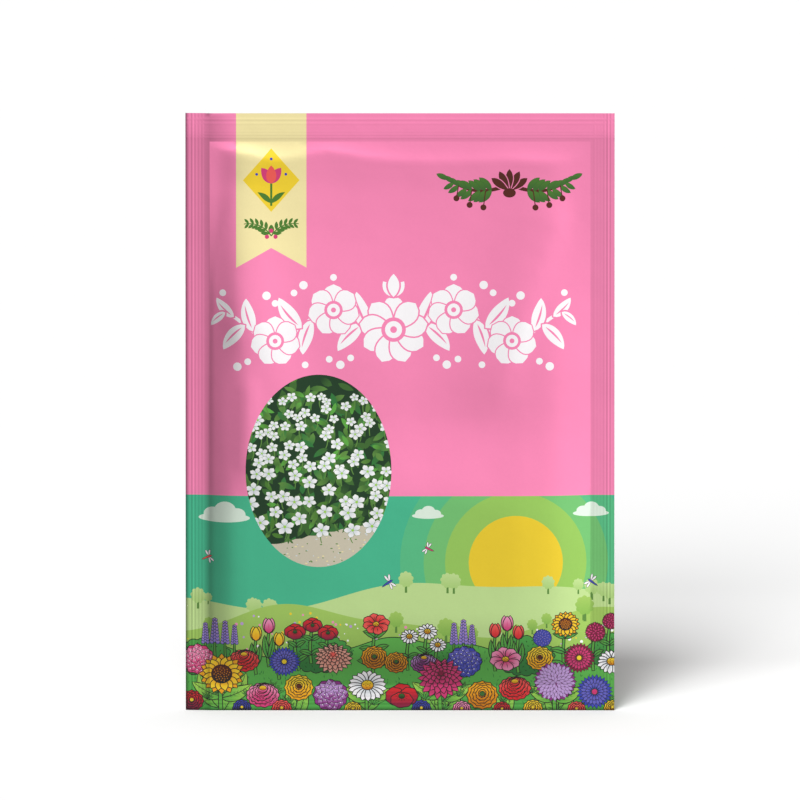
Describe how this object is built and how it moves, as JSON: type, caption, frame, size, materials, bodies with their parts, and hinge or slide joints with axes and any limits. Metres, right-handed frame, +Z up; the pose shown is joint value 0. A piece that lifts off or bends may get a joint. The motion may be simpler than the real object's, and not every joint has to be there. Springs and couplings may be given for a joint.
{
  "type": "seed packet",
  "caption": "Flat heat-sealed film packet of flower seed, standing upright: two printed sheets with ribbed welds all round and a softly swollen pocket.",
  "frame": {"origin": "middle of the box's underside, on the lower cut edge between the two sheets", "axes": "+Z up the packet, +Y through it towards the back, so the printed face looks towards -Y; +X across it"},
  "size_m": [0.1, 0.0066, 0.14],
  "materials": {
    "front_print": "soft-gloss printed film laminate, pink over a flower meadow",
    "back_print": "soft-gloss printed film laminate, plain pink over green",
    "seed": "dull dry seed"
  },
  "bodies": {
    "root": {"front_film": "front_print", "back_film": "back_print", "seed_fill": "seed"}
  },
  "joints": []
}
